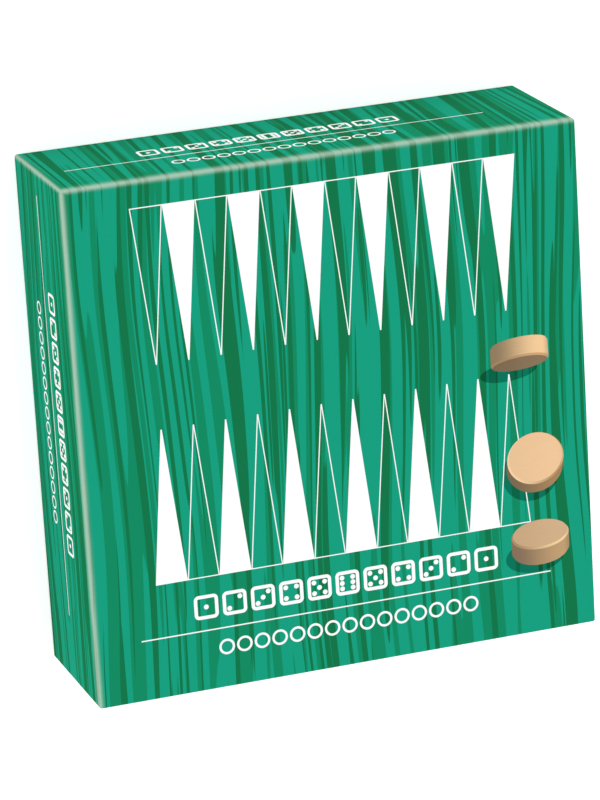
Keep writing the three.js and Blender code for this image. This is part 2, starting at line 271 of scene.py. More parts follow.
def bevelled(mesh, width, segments, degrees):
    """The mesh with its sharper edges rounded; the given one is used up."""
    name = mesh.name
    holder = linked(name, mesh)
    bevel = holder.modifiers.new("edges", "BEVEL")
    bevel.width = width
    bevel.segments = segments
    bevel.limit_method = "ANGLE"
    bevel.angle_limit = math.radians(degrees)
    weigh = holder.modifiers.new("shading", "WEIGHTED_NORMAL")
    weigh.weight = LARGE_FACE_WEIGHT
    mesh.polygons.foreach_set("use_smooth", [True] * len(mesh.polygons))
    mesh = evaluated_mesh(holder)
    mesh.name = name
    return mesh


def settle(piece, body, slot, *nodes):
    """Fastens a piece to its body and hides the nodes that it stands for."""
    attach(piece, body)
    if nodes:
        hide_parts(*nodes)


# Flat print: thin slabs of ink

def ellipse(x, y, across, along, steps=72, turn=0.0):
    """Points of an ellipse, from its half axes, turned about its centre."""
    cos, sin = math.cos(turn), math.sin(turn)
    points = []
    for i in range(steps):
        angle = 2 * math.pi * i / steps
        px, py = across * math.cos(angle), along * math.sin(angle)
        points.append((x + px * cos - py * sin, y + px * sin + py * cos))
    return points


def rounded_square(x, y, side, radius, steps=8):
    """Points of a square with round corners."""
    reach = side / 2 - radius
    points = []
    for quarter, (sx, sy) in enumerate(((1, 1), (-1, 1), (-1, -1), (1, -1))):
        for i in range(steps + 1):
            angle = (quarter + i / steps) * math.pi / 2
            points.append((
                x + sx * reach + radius * math.cos(angle),
                y + sy * reach + radius * math.sin(angle),
            ))
    return points


def inset_triangle(corners, line):
    """The same triangle with its sides moved in by a line width."""
    a, b, c = (Vector(p) for p in corners)
    sides = ((b - c).length, (c - a).length, (a - b).length)
    around = sum(sides)
    centre = (a * sides[0] + b * sides[1] + c * sides[2]) / around
    inradius = abs((b - a).cross(c - a)) / around
    return [tuple(centre + (p - centre) * (1 - line / inradius)) for p in (a, b, c)]


def flat_slab(name, loops, low, high):
    """A slab between two heights from flat loops; a loop inside another is a hole."""
    curve = bpy.data.curves.new(name, "CURVE")
    curve.dimensions = "2D"
    curve.fill_mode = "BOTH"
    curve.extrude = (high - low) / 2
    for loop in loops:
        spline = curve.splines.new("POLY")
        spline.points.add(len(loop) - 1)
        for point, (x, y) in zip(spline.points, loop):
            point.co = (x, y, 0, 1)
        spline.use_cyclic_u = True
    mesh = evaluated_mesh(linked(name, curve))
    mesh.transform(Matrix.Translation((0, 0, (low + high) / 2)))
    return closed(mesh)


def closed(mesh):
    """The mesh with its seams merged; the given one is used up."""
    name = mesh.name
    bm = bmesh.new()
    bm.from_mesh(mesh)
    bpy.data.meshes.remove(mesh)
    bmesh.ops.remove_doubles(bm, verts=bm.verts, dist=MERGE_DISTANCE)
    bmesh.ops.recalc_face_normals(bm, faces=bm.faces)
    return mesh_of(name, bm)


def row_tree():
    """Geometry Nodes tree that repeats the incoming shape along a straight row."""
    name = "row_of_copies"
    if name in bpy.data.node_groups:
        return bpy.data.node_groups[name]
    tree = bpy.data.node_groups.new(name, "GeometryNodeTree")
    sockets = {"Geometry": "Geometry", "Count": "Int", "Start": "Vector", "Step": "Vector"}
    for socket, kind in (*sockets.items(), ("Material", "Material")):
        tree.interface.new_socket(socket, in_out="INPUT", socket_type="NodeSocket" + kind)
    tree.interface.new_socket("Geometry", in_out="OUTPUT", socket_type="NodeSocketGeometry")
    given = add(tree, "NodeGroupInput").outputs
    line = add(tree, "GeometryNodeMeshLine", {
        "Count": given["Count"], "Start Location": given["Start"], "Offset": given["Step"],
    }, mode="OFFSET")
    copies = add(tree, "GeometryNodeInstanceOnPoints", {
        "Points": line.outputs["Mesh"], "Instance": given["Geometry"],
    })
    solid = add(tree, "GeometryNodeRealizeInstances", {"Geometry": copies.outputs["Instances"]})
    inked = add(tree, "GeometryNodeSetMaterial", {
        "Geometry": solid.outputs["Geometry"], "Material": given["Material"],
    })
    add(tree, "NodeGroupOutput", {"Geometry": inked.outputs["Geometry"]})
    return tree


def row_of(shape, count, start, step, material):
    """A mesh of equal copies of a shape along a row; the shape is used up."""
    holder = linked(shape.name, shape)
    modifier = holder.modifiers.new("row", "NODES")
    modifier.node_group = row_tree()
    values = {"Count": count, "Start": start, "Step": step, "Material": material}
    for item in modifier.node_group.interface.items_tree:
        if item.in_out == "INPUT" and item.name in values:
            modifier[item.identifier] = values[item.name]
    return evaluated_mesh(holder)


def point_slab(width, reach, line, low, high, tip=0.0):
    """One point with its base on X and its blunt tip along Y, filled or, where it has a line, open."""
    peak = reach * width / (width - tip)
    corners = [(-width / 2, 0), (width / 2, 0), (0, peak)]
    outline = corners[:2] + [(tip / 2, reach), (-tip / 2, reach)] if tip else corners
    loops = [outline, inset_triangle(corners, line)] if line else [outline]
    return flat_slab("point", loops, low, high)


def point_rows(name, pitch, reach, line, head, foot, low, high, material, centre=0.0, tip=0.0):
    """Facing rows of points, open and filled by turns, as one mesh."""
    rows = []
    for y, direction, open_first in ((head, -1, True), (foot, 1, False)):
        for is_open in (True, False):
            shape = point_slab(pitch, direction * reach, line if is_open else 0, low, high, tip)
            first = 0 if is_open == open_first else 1
            start = (centre + (first - (POINTS_PER_ROW - 1) / 2) * pitch, y, 0)
            rows.append(row_of(shape, POINTS_PER_ROW // 2, start, (2 * pitch, 0, 0), material))
    return joined(name, rows)


def pip_places(value):
    """Where the pips of a die face lie, in steps from its middle."""
    places = [(0, 0)] if value % 2 else []
    places += [(-1, -1), (1, 1), (-1, 1), (1, -1)][:2 * (value // 2)]
    return places + [(-1, 0), (1, 0)] if value == 6 else places


# Materials

def drawn_noise(tree, reach, detail=0, place=None, offset=(0, 0, 0), turn=0.0):
    """Smooth noise on the piece, or by a given place, drawn out over a reach in millimetres on each axis."""
    if place is None:
        place = add(tree, "ShaderNodeTexCoord").outputs["Object"]
    drawn = add(tree, "ShaderNodeMapping", {
        "Vector": place, "Location": offset, "Rotation": (0, 0, turn),
        "Scale": [1 / (millimetres * MM) for millimetres in reach],
    })
    return add(tree, "ShaderNodeTexNoise", {
        "Vector": drawn.outputs[0], "Scale": 1, "Detail": detail,
    }).outputs["Fac"]


def layered(tree, ground, *layers):
    """A colour with others laid over it, each as far as its factor says."""
    for factor, tone in layers:
        ground = add(tree, "ShaderNodeMix", {
            "Factor": factor, "A": ground, "B": tone,
        }, data_type="RGBA").outputs["Result"]
    return ground


# Noise on a flat sheet has no need of its third axis
SHEET = 1000
# The streaks sway to and fro, and the fine ones crowd in patches. Each kind is cut from its own place in the
# noise, which is turned, so that streaks side by side don't end in a row.
SWAY = 7 * MM
CROWDING = 0.5
STREAK_SLANT = 0.7
STREAK_TURN = 0.6
STREAK_EDGE = 0.004


def printed_grain(name, colours, shade=1.0):
    """Offset-printed paper with a satin varnish, glued over board.

    Three flat greens lie in long tapering streaks, as in a woodcut, and a painted highlight lies pale along
    the lid's left and head edges.
    """
    material, tree, shader = new_material(name, roughness=0.55, ior=1.45, specular=0.002)
    place = add(tree, "ShaderNodeUVMap", uv_map="unfolded").outputs["UV"]
    sway = add(tree, "ShaderNodeMapRange", {
        "Value": drawn_noise(tree, (70, 150, SHEET), place=place), "To Min": -SWAY, "To Max": SWAY,
    }, clamp=False)
    sway = add(tree, "ShaderNodeCombineXYZ", {"X": sway.outputs[0]})
    place = add(tree, "ShaderNodeVectorMath", {0: place, 1: sway.outputs[0]}, operation="ADD").outputs[0]

    def streaks(width, run, offset):
        shift = (offset, STREAK_SLANT * offset, 0)
        return drawn_noise(tree, (width, run, SHEET), place=place, offset=shift, turn=STREAK_TURN)

    def cut_at(noise, threshold, edge=STREAK_EDGE):
        return add(tree, "ShaderNodeMapRange", {
            "Value": noise, "From Min": threshold - edge, "From Max": threshold + edge,
        }, interpolation_type="SMOOTHSTEP").outputs[0]

    middle = cut_at(streaks(width=4.8, run=230, offset=5.7), threshold=0.555)
    broad = cut_at(streaks(width=5.2, run=250, offset=17.0), threshold=0.63)
    patch = streaks(width=30, run=300, offset=3.4)
    fine = streaks(width=2.5, run=270, offset=51.6)
    crowded = add(tree, "ShaderNodeMath", {0: patch, 1: CROWDING, 2: fine}, operation="MULTIPLY_ADD")
    crowded = cut_at(crowded.outputs[0], threshold=0.875, edge=1.5 * STREAK_EDGE)
    dark = add(tree, "ShaderNodeMath", {0: broad, 1: crowded}, operation="MAXIMUM").outputs[0]
    layers = [(middle, rgba(colours.grain_mid, shade)), (dark, rgba(colours.grain_dark, shade))]
    if shade == 1.0:
        # Painted highlight on the left and head edges, a little weaker over the dark streaks
        highlight_dimming = add(tree, "ShaderNodeMapRange", {"Value": dark, "To Min": 1.0, "To Max": 0.8}).outputs[0]
        highlight_mix = add(tree, "ShaderNodeMath", {0: edge_highlight_mask(tree), 1: highlight_dimming}, operation="MULTIPLY").outputs[0]
        layers.append((highlight_mix, rgba(colours.painted_highlight_tone)))
    tone = layered(tree, rgba(colours.grain_light, shade), *layers)
    tree.links.new(tone, shader.inputs["Base Color"])
    paper_fibres(tree, shader, fibre=0.6)
    return material


# Painted highlight along the lid's edges: from where and how far it reaches, how strong it is at most, and
# how fast it fades
HIGHLIGHT_START = 0.3 * MM
HIGHLIGHT_REACH = (3.6 * MM, 4.2 * MM)
HIGHLIGHT_MOST = 0.98
HIGHLIGHT_FALL = 3.5


def edge_highlight_mask(tree):
    """How strong the painted highlight on the wrap is, by its distance from the edges between the cover, the
    left side and the head.

    The highlight reaches further down the two sides than over the cover.
    """
    low, high = node_box("lid_shell")
    place = add(tree, "ShaderNodeTexCoord").outputs["Object"]
    corner = (low.x, high.y, high.z)
    inside = add(tree, "ShaderNodeVectorMath", {0: place, 1: corner}, operation="SUBTRACT").outputs[0]
    inside = add(tree, "ShaderNodeVectorMath", {0: inside}, operation="ABSOLUTE").outputs[0]
    left, head, top = add(tree, "ShaderNodeSeparateXYZ", {0: inside}).outputs
    to_edge = add(tree, "ShaderNodeMath", {0: left, 1: head}, operation="MAXIMUM").outputs[0]
    for side, over_cover, down_side in ((left, 1.0, 2.5), (head, 0.95, 3.3)):
        inward = add(tree, "ShaderNodeMath", {0: side, 1: over_cover}, operation="DIVIDE").outputs[0]
        drop = add(tree, "ShaderNodeMath", {0: top, 1: down_side}, operation="DIVIDE").outputs[0]
        distance = add(tree, "ShaderNodeMath", {0: inward, 1: drop}, operation="MAXIMUM").outputs[0]
        to_edge = add(tree, "ShaderNodeMath", {0: to_edge, 1: distance}, operation="MINIMUM").outputs[0]
    nearest, farthest = HIGHLIGHT_REACH
    reach = add(tree, "ShaderNodeMapRange", {
        "Value": drawn_noise(tree, (25, 25, 25), detail=2), "From Min": 0.3, "From Max": 0.7,
        "To Min": nearest, "To Max": farthest,
    }).outputs[0]
    fall = add(tree, "ShaderNodeMapRange", {
        "Value": to_edge, "From Min": HIGHLIGHT_START, "From Max": reach, "To Min": HIGHLIGHT_MOST, "To Max": 0.0,
    }, interpolation_type="SMOOTHSTEP").outputs[0]
    return add(tree, "ShaderNodeMath", {0: fall, 1: HIGHLIGHT_FALL}, operation="POWER").outputs[0]


def clouded(tree, shader, tone, size, detail, darkest, lightest):
    """Colours a surface in soft clouds, of a size in millimetres, between two shares of a tone."""
    clouds = drawn_noise(tree, (size, size, size), detail)
    tint = layered(tree, rgba(tone, darkest), (clouds, rgba(tone, lightest)))
    tree.links.new(tint, shader.inputs["Base Color"])


def uneven(tree, shader, size, detail, strength, depth):
    """Raises faint bumps on a surface, of a size and depth in millimetres."""
    height = drawn_noise(tree, (size, size, size), detail)
    bump = add(tree, "ShaderNodeBump", {"Height": height, "Strength": strength, "Distance": depth * MM})
    tree.links.new(bump.outputs[0], shader.inputs["Normal"])


def paper_fibres(tree, shader, fibre):
    """Faint unevenness of glued paper, with its fibres at the given size in millimetres."""
    uneven(tree, shader, fibre, detail=3, strength=0.12, depth=0.02)


def plain_paper(name, tone, roughness, mottle, fibre=0.8):
    """Uncoated or lightly coated paper: one colour with a cloudy formation and short fibres."""
    material, tree, shader = new_material(name, roughness, ior=1.45, specular=0.25)
    clouded(tree, shader, tone, size=6, detail=5, darkest=1 - mottle, lightest=1 + mottle)
    paper_fibres(tree, shader, fibre)
    return material


def moulded(name, tone, roughness):
    """Formed or moulded plastic: an even colour with faint clouds and a fine orange peel."""
    material, tree, shader = new_material(name, roughness)
    clouded(tree, shader, tone, size=14, detail=2, darkest=0.95, lightest=1.03)
    uneven(tree, shader, size=1.1, detail=1, strength=0.1, depth=0.03)
    return material


# Streaks along the grain, then the flecks of the rays: length and width in millimetres, the noise's detail,
# and the span of the noise that they show in
WOOD_LAYERS = ((70, 2.4, 3, 0.30, 0.72), (5.5, 0.5, 1, 0.60, 0.70))
# Shares of the contrast by which the ground is lighter and the flecks are darker than the tone
GROUND_LIFT = 0.45
FLECK_DEPTH = 1.3


def wood(name, tone, contrast, roughness=0.5, fleck=0.5):
    """Beech, planed or turned: soft streaks along the grain and the short dark flecks of its rays.

    It reads the piece's grain attribute, in metres, whose X runs along the grain.
    """
    material, tree, shader = new_material(name, roughness, specular=0.35)
    place = add(tree, "ShaderNodeAttribute", attribute_name="grain").outputs["Vector"]
    layers = []
    for run, width, detail, low, high in WOOD_LAYERS:
        noise = drawn_noise(tree, (run, width, width), detail, place)
        layers.append(add(tree, "ShaderNodeMapRange", {
            "Value": noise, "From Min": low, "From Max": high,
        }).outputs[0])
    streak, ray = layers
    ray = add(tree, "ShaderNodeMath", {0: ray, 1: fleck}, operation="MULTIPLY").outputs[0]
    ground, dark, darkest = (rgba(tone, 1 + share * contrast) for share in (GROUND_LIFT, -1, -FLECK_DEPTH))
    tint = layered(tree, ground, (streak, dark), (ray, darkest))
    tree.links.new(tint, shader.inputs["Base Color"])
    bump = add(tree, "ShaderNodeBump", {"Height": streak, "Strength": 0.15, "Distance": 0.05 * MM})
    tree.links.new(bump.outputs[0], shader.inputs["Normal"])
    return material


def shaded_print(name, left, right):
    """Printed picture of beech: a soft shading from left to right with a little grain in it.

    Its UVs count half widths from the middle of the checker. Past most of one, the shading turns back.
    """
    material, tree, shader = new_material(name, roughness=0.55, ior=1.45, specular=0.002)
    place = add(tree, "ShaderNodeUVMap", uv_map="unfolded").outputs["UV"]
    across = add(tree, "ShaderNodeSeparateXYZ", {0: place}).outputs["X"]
    soft = add(tree, "ShaderNodeMapRange", {
        "Value": across, "From Min": -0.9, "From Max": 0.75,
    }, interpolation_type="SMOOTHSTEP")
    turned = add(tree, "ShaderNodeMapRange", {
        "Value": across, "From Min": 0.8, "From Max": 1.02, "To Max": 0.45,
    }, interpolation_type="SMOOTHSTEP")
    soft = add(tree, "ShaderNodeMath", {0: soft.outputs[0], 1: turned.outputs[0]}, operation="SUBTRACT")
    tone = layered(tree, rgba(linear(left)), (soft.outputs[0], rgba(linear(right))))
    grain = add(tree, "ShaderNodeMapRange", {
        "Value": drawn_noise(tree, (8.3, 0.7, SHEET), detail=2), "From Min": 0.3, "From Max": 0.7,
        "To Min": 0.98, "To Max": 1.015,
    })
    tone = add(tree, "ShaderNodeVectorMath", {0: tone, "Scale": grain.outputs[0]}, operation="SCALE")
    tree.links.new(tone.outputs[0], shader.inputs["Base Color"])
    return material


def shared(name, make, *args, **settings):
    """A material that several pieces use, made once."""
    return bpy.data.materials.get(name) or make(name, *args, **settings)


def white_ink(context):
    """Opaque white ink, a little cloudy where it lies thin."""
    tone = context.scene.set_colours.ink_white
    return shared("white_ink", plain_paper, tone, roughness=0.55, mottle=0.012)


def lining_board(context):
    """White-lined greyboard: matt, with a faint mottle."""
    tone = context.scene.set_colours.lining
    return shared("white_lining_board", plain_paper, tone, roughness=0.85, mottle=0.05)


# Wrapped trays

CORNER_STEPS = 5
SMALLEST_CORNER = 0.35 * MM
LIP = 0.4 * MM
LIP_BEND = 0.3 * LIP
WRAP_SLOT, LINING_SLOT = 0, 1
# What counts as cover when the wrap is unfolded: how far a face looks up, and how deep it lies
COVER_FACING = 0.72
COVER_DEPTH = 3 * MM


def lofted_tray(half, profile, corner):
    """A tray from a profile of (inset, height, material) steps that runs from its outside to its inside."""
    bm = bmesh.new()
    rings = []
    for inset, z, _ in profile:
        radius = max(corner - inset, SMALLEST_CORNER)
        outline = rounded_square(0, 0, 2 * (half - inset), radius, CORNER_STEPS)
        rings.append([bm.verts.new((x, y, z)) for x, y in outline])
    bm.faces.new(rings[0]).material_index = profile[0][2]
    for a, b, (_, _, index) in zip(rings, rings[1:], profile[1:]):
        for i in range(len(a)):
            j = (i + 1) % len(a)
            bm.faces.new((a[i], b[i], b[j], a[j])).material_index = index
    bm.faces.new(rings[-1]).material_index = profile[-1][2]
    bmesh.ops.recalc_face_normals(bm, faces=bm.faces)
    return bm


def quarter_round(z, radius, way, steps=4):
    """Profile steps round an outer edge, from its flat side to its wall."""
    arc = []
    for i in range(steps + 1):
        angle = i / steps * math.pi / 2
        arc.append((radius * (1 - math.sin(angle)), z + way * radius * (1 - math.cos(angle))))
    return arc


def wrap_profile(flat, rim, inner, radius, wall, sizes):
    """Profile of a wrapped tray, from the heights of its outer flat, its rim and its inner flat.

    The wrap runs round the edge, over the rim and in as far as the turn-in, and the lining follows.
    """
    inward = math.copysign(1, flat - rim)
    turned = wall + sizes.paper
    outer_lip = [(0, LIP), (LIP_BEND, LIP_BEND), (LIP, 0)]
    over_rim = outer_lip + [(turned - inset, rise) for inset, rise in reversed(outer_lip)]
    over_rim += [(turned, sizes.turn_in), (wall, sizes.turn_in + sizes.paper)]
    wrap = quarter_round(flat, radius, -inward)
    wrap += [(inset, rim + inward * rise) for inset, rise in over_rim]
    lining = [(wall, inner), (wall + LIP, inner)]
    return [(*step, WRAP_SLOT) for step in wrap] + [(*step, LINING_SLOT) for step in lining]


def unfold(mesh, half, top, foot):
    """UV map of the flat sheet that wraps a lid: the cover, then each side folded out, then its turn-in."""
    layer = mesh.uv_layers.new(name="unfolded")
    for polygon in mesh.polygons:
        normal, centre = polygon.normal, polygon.center
        on_cover = normal.z > COVER_FACING and centre.z > top - COVER_DEPTH
        along_x = abs(centre.x) > abs(centre.y)
        is_inside = normal.x * centre.x + normal.y * centre.y < 0
        for index in polygon.loop_indices:
            x, y, z = mesh.vertices[mesh.loops[index].vertex_index].co
            drop = (top - foot) + (z - foot) if is_inside else top - z
            if on_cover:
                place = (x, y)
            elif along_x:
                place = (math.copysign(half + drop, x), y)
            else:
                place = (x, math.copysign(half + drop, y))
            layer.data[index].uv = place


class BACKGAMMON_OT_lid_wrap(bpy.types.Operator):
    """Wrap the lid in its printed paper, turned in at the foot over a white lining"""

    bl_idname = "backgammon.lid_wrap"
    bl_label = "Lid wrap"

    def execute(self, context):
        sizes, colours = chosen(context)
        low, high = node_box("lid_shell")
        half, top = high.x - sizes.relief, high.z - sizes.relief
        wall, ceiling = sizes.lid_wall - sizes.relief, high.z - sizes.lid_wall
        profile = wrap_profile(top, low.z, ceiling, sizes.edge_radius, wall, sizes)
        mesh = mesh_of("lid_wrap", lofted_tray(half, profile, sizes.lid_corner))
        unfold(mesh, half, top, low.z)
        smooth(mesh, degrees=40)
        print_paper = shared("printed_wrap_paper", printed_grain, colours)
        piece = new_piece("lid_wrap", mesh, print_paper, lining_board(context))
        settle(piece, "lid", "printed_wrap", "lid_shell")
        return {"FINISHED"}


class BACKGAMMON_OT_base_wrap(bpy.types.Operator):
    """Wrap the base in plain paper, turned in at the rim over a white lining"""

    bl_idname = "backgammon.base_wrap"
    bl_label = "Base wrap"

    def execute(self, context):
        sizes, colours = chosen(context)
        low, high = node_box("base_tray")
        floor = low.z + sizes.base_wall
        profile = wrap_profile(low.z, high.z, floor, sizes.base_radius, sizes.base_wall, sizes)
        mesh = mesh_of("base_wrap", lofted_tray(high.x, profile, sizes.base_corner))
        smooth(mesh, degrees=40)
        paper = shared("plain_green_paper", plain_paper, colours.base_paper, roughness=0.6, mottle=0.06)
        piece = new_piece("base_wrap", mesh, paper, lining_board(context))
        settle(piece, "base", "plain_wrap", "base_tray")
        return {"FINISHED"}


# Print on the lid

# Depths below the lid's outside as shares of the relief: where all ink starts, and where each layer ends
INK_FOOT = 1.2
LINE_INK = 0.5
SHADOW_INK = 0.65
CHECKER_INK = {"face": 0.0, "edge": 0.15, "side": 0.3}
# The printed dice count up to the middle of their row and down again; shares are of a die's side
DICE_EACH_WAY = 5
DIE_CORNER = 0.2
PIP_STEP = 0.225
PIP_RADIUS = 0.1
RINGS = 15


def on_lid_faces(name, make):
    """One mesh of the print that the function makes for the cover and for each side.

    On each face, the print is laid out to the right and up from the middle.
    """
    low, high = node_box("lid_shell")
    middle = (low.z + high.z) / 2
    faces = {
        "cover": ((1, 0, 0), (0, 1, 0), (0, 0, high.z)),
        "head": ((1, 0, 0), (0, 0, -1), (0, high.y, middle)),
        "foot": ((1, 0, 0), (0, 0, 1), (0, low.y, middle)),
        "left": ((0, -1, 0), (0, 0, 1), (low.x, 0, middle)),
        "right": ((0, 1, 0), (0, 0, 1), (high.x, 0, middle)),
    }
    parts = []
    for face, (right, up, place) in faces.items():
        right, up = Vector(right), Vector(up)
        turn = Matrix((right, up, right.cross(up))).transposed().to_4x4()
        mesh = make(face)
        mesh.transform(Matrix.Translation(place) @ turn)
        parts.append(mesh)
    return joined(name, parts)


class BACKGAMMON_OT_cover_points(bpy.types.Operator):
    """Print the two rows of twelve points on the cover"""

    bl_idname = "backgammon.cover_points"
    bl_label = "Cover points"

    def execute(self, context):
        sizes = context.scene.set_sizes
        ink = white_ink(context)
        top = node_box("lid_shell")[1].z
        mesh = point_rows(
            "cover_points", sizes.point_pitch, sizes.point_length, sizes.point_line,
            sizes.field_head, sizes.field_foot, top - INK_FOOT * sizes.relief, top - LINE_INK * sizes.relief,
            ink, tip=sizes.point_tip,
        )
        settle(new_piece("cover_points", mesh, ink), "lid", "printed_wrap")
        return {"FINISHED"}


class BACKGAMMON_OT_cover_rows(bpy.types.Operator):
    """Print the rules and the rows of dice and rings on the cover and the sides"""

    bl_idname = "backgammon.cover_rows"
    bl_label = "Cover rows"

    def execute(self, context):
        sizes = context.scene.set_sizes
        ink = white_ink(context)
        low, high = -INK_FOOT * sizes.relief, -LINE_INK * sizes.relief

        def rule(face):
            x, y = (0, sizes.cover_rule) if face == "cover" else (sizes.side_shift, sizes.side_rule)
            reach, line = sizes.rule_length / 2, sizes.rule_line / 2
            corners = ((-reach, -line), (reach, -line), (reach, line), (-reach, line))
            return flat_slab("rule", [[(x + across, y + up) for across, up in corners]], low, high)

        def row_place(face, on_cover, on_side):
            """Middle and scale of a row on one face of the lid."""
            if face == "cover":
                return 0, on_cover, 1
            return sizes.side_shift / (1 if face == "head" else 2), on_side, sizes.side_scale

        def dice(face):
            x, y, scale = row_place(face, sizes.cover_dice, sizes.side_dice)
            side, line, pitch = (scale * size for size in (sizes.die_face, sizes.die_line, sizes.die_pitch))
            corner, step, pip = (share * side for share in (DIE_CORNER, PIP_STEP, PIP_RADIUS))
            loops = []
            for place in range(-DICE_EACH_WAY, DICE_EACH_WAY + 1):
                centre = x + place * pitch
                loops.append(rounded_square(centre, y, side, corner))
                loops.append(rounded_square(centre, y, side - 2 * line, corner - line))
                for column, row in pip_places(DICE_EACH_WAY + 1 - abs(place)):
                    loops.append(ellipse(centre + step * column, y + step * row, pip, pip, steps=24))
            return flat_slab("dice", loops, low, high)

        def rings(face):
            x, y, scale = row_place(face, sizes.cover_rings, sizes.side_rings)
            outer = scale * sizes.ring_size / 2
            inner = outer - scale * sizes.ring_line
            pitch = scale * sizes.ring_pitch
            loops = [ellipse(0, 0, radius, radius, steps=40) for radius in (outer, inner)]
            start = (x - (RINGS - 1) / 2 * pitch, y, 0)
            return row_of(flat_slab("ring", loops, low, high), RINGS, start, (pitch, 0, 0), ink)

        for name, make in (("cover_rules", rule), ("cover_dice_row", dice), ("cover_ring_row", rings)):
            settle(new_piece(name, on_lid_faces(name, make), ink), "lid", "printed_wrap")
        return {"FINISHED"}


# The checkers of the cover's picture, in millimetres from the cover's middle, with tones from left to right
PICTURED_CHECKERS = (
    {
        "place": (88.1, 10.3), "half_axes": (14.0, 3.1), "to_far_face": (-0.2, 9.6), "tilt": 3.0,
        "shadow": (82.4, 7.0), "shadow_half_axes": (13.8, 4.3),
        "face": ("#7c6750", "#8a7459"), "edge": ("#a3835f", "#cfa678"), "side": ("#8f7c5f", "#f3cb9a"),
    },
    {
        "place": (93.6, -35.3), "half_axes": (13.8, 12.3), "to_far_face": (-0.6, -5.0), "tilt": 0.0,
        "shadow": (91.0, -42.4), "shadow_half_axes": (14.0, 13.4),
        "face": ("#e8c196", "#eec69a"), "edge": ("#f6d3a8", "#bd966a"), "side": ("#7c684f", "#a5845d"),
    },
    {
        "place": (94.2, -72.0), "half_axes": (14.1, 6.8), "to_far_face": (0.0, -8.8), "tilt": 0.0,
        "shadow": (91.4, -82.8), "shadow_half_axes": (14.4, 7.8),
        "face": ("#c7a681", "#d0af89"), "edge": ("#ab8c69", "#f2d2a0"), "side": ("#86705a", "#c09d73"),
    },
)
# Their eased edges: shares of the way from face to face, and of the half axes
FULL_FROM = 0.1
FULL_TO = 0.88
EASED_FACE = 0.95


class BACKGAMMON_OT_cover_checkers(bpy.types.Operator):
    """Print the picture of three pale checkers with their shadows on the cover"""

    bl_idname = "backgammon.cover_checkers"
    bl_label = "Cover checkers"

    def execute(self, context):
        sizes, colours = chosen(context)
        top = node_box("lid_shell")[1].z
        foot = top - INK_FOOT * sizes.relief
        shadows = []
        for number, picture in enumerate(PICTURED_CHECKERS, 1):
            for part, outline in self.outlines(picture).items():
                name = f"cover_checker_{number}_{part}"
                ink = shaded_print(f"printed_{part}_{number}", *picture[part])
                end = top - CHECKER_INK[part] * sizes.relief
                mesh = self.ink_patch(name, outline, foot, end, *picture["place"], picture["half_axes"][0])
                settle(new_piece(name, mesh, ink), "lid", "printed_wrap")
            turn = math.radians(picture["tilt"])
            outline = ellipse(*picture["shadow"], *picture["shadow_half_axes"], turn=turn)
            shadows.append(self.ink_patch("shadow", outline, foot, top - SHADOW_INK * sizes.relief))
        ink = shared("shadow_ink", printed_grain, colours, shade=0.5)
        name = "cover_checker_shadows"
        settle(new_piece(name, joined(name, shadows), ink), "lid", "printed_wrap")
        return {"FINISHED"}

    def outlines(self, picture):
        """Outlines of a checker's face, its eased edge and its side; each one lies on the next."""
        (x, y), (across, along) = picture["place"], picture["half_axes"]
        far_x, far_y = picture["to_far_face"]
        turn = math.radians(picture["tilt"])

        def section(way, share):
            return ellipse(x + way * far_x, y + way * far_y, share * across, share * along, turn=turn)

        face = section(0, EASED_FACE)
        edge = hull(face + section(FULL_FROM, 1))
        side = hull(edge + section(FULL_TO, 1) + section(1, EASED_FACE))
        return {"face": face, "edge": edge, "side": side}

    def ink_patch(self, name, outline, low, high, x=0.0, y=0.0, unit=1 / MM):
        """A flat patch of ink from an outline in millimetres, with UVs in units from a point."""
        mesh = flat_slab(name, [[(px * MM, py * MM) for px, py in outline]], low, high)
        layer = mesh.uv_layers.new(name="unfolded")
        for loop in mesh.loops:
            co = mesh.vertices[loop.vertex_index].co
            layer.data[loop.index].uv = ((co.x / MM - x) / unit, (co.y / MM - y) / unit)
        return mesh


def hull(points):
    """The convex outline of flat points."""
    return [points[index] for index in convex_hull_2d(points)]


# Wooden board

# Metres along the grain to where each piece is cut; the rails come first, a metre apart
PANEL_RUN = 0
BAR_RUN = 7
FIRST_POINT_RUN = 10
# The inlaid points beside which open ones start, and which way they point
OPEN_RUNS = (("12", 1), ("06", 1), ("14", -1), ("20", -1))
OPEN_POINTS_PER_RUN = 3
INK_SINK = 0.02 * MM
BOARD_INK = 0.05 * MM


def set_grain(mesh, place):
    """Stores where each vertex lies in the wood; the function gives metres along and across the grain."""
    layer = mesh.attributes.new("grain", "FLOAT_VECTOR", "POINT")
    for vertex in mesh.vertices:
        layer.data[vertex.index].vector = place(vertex.co)


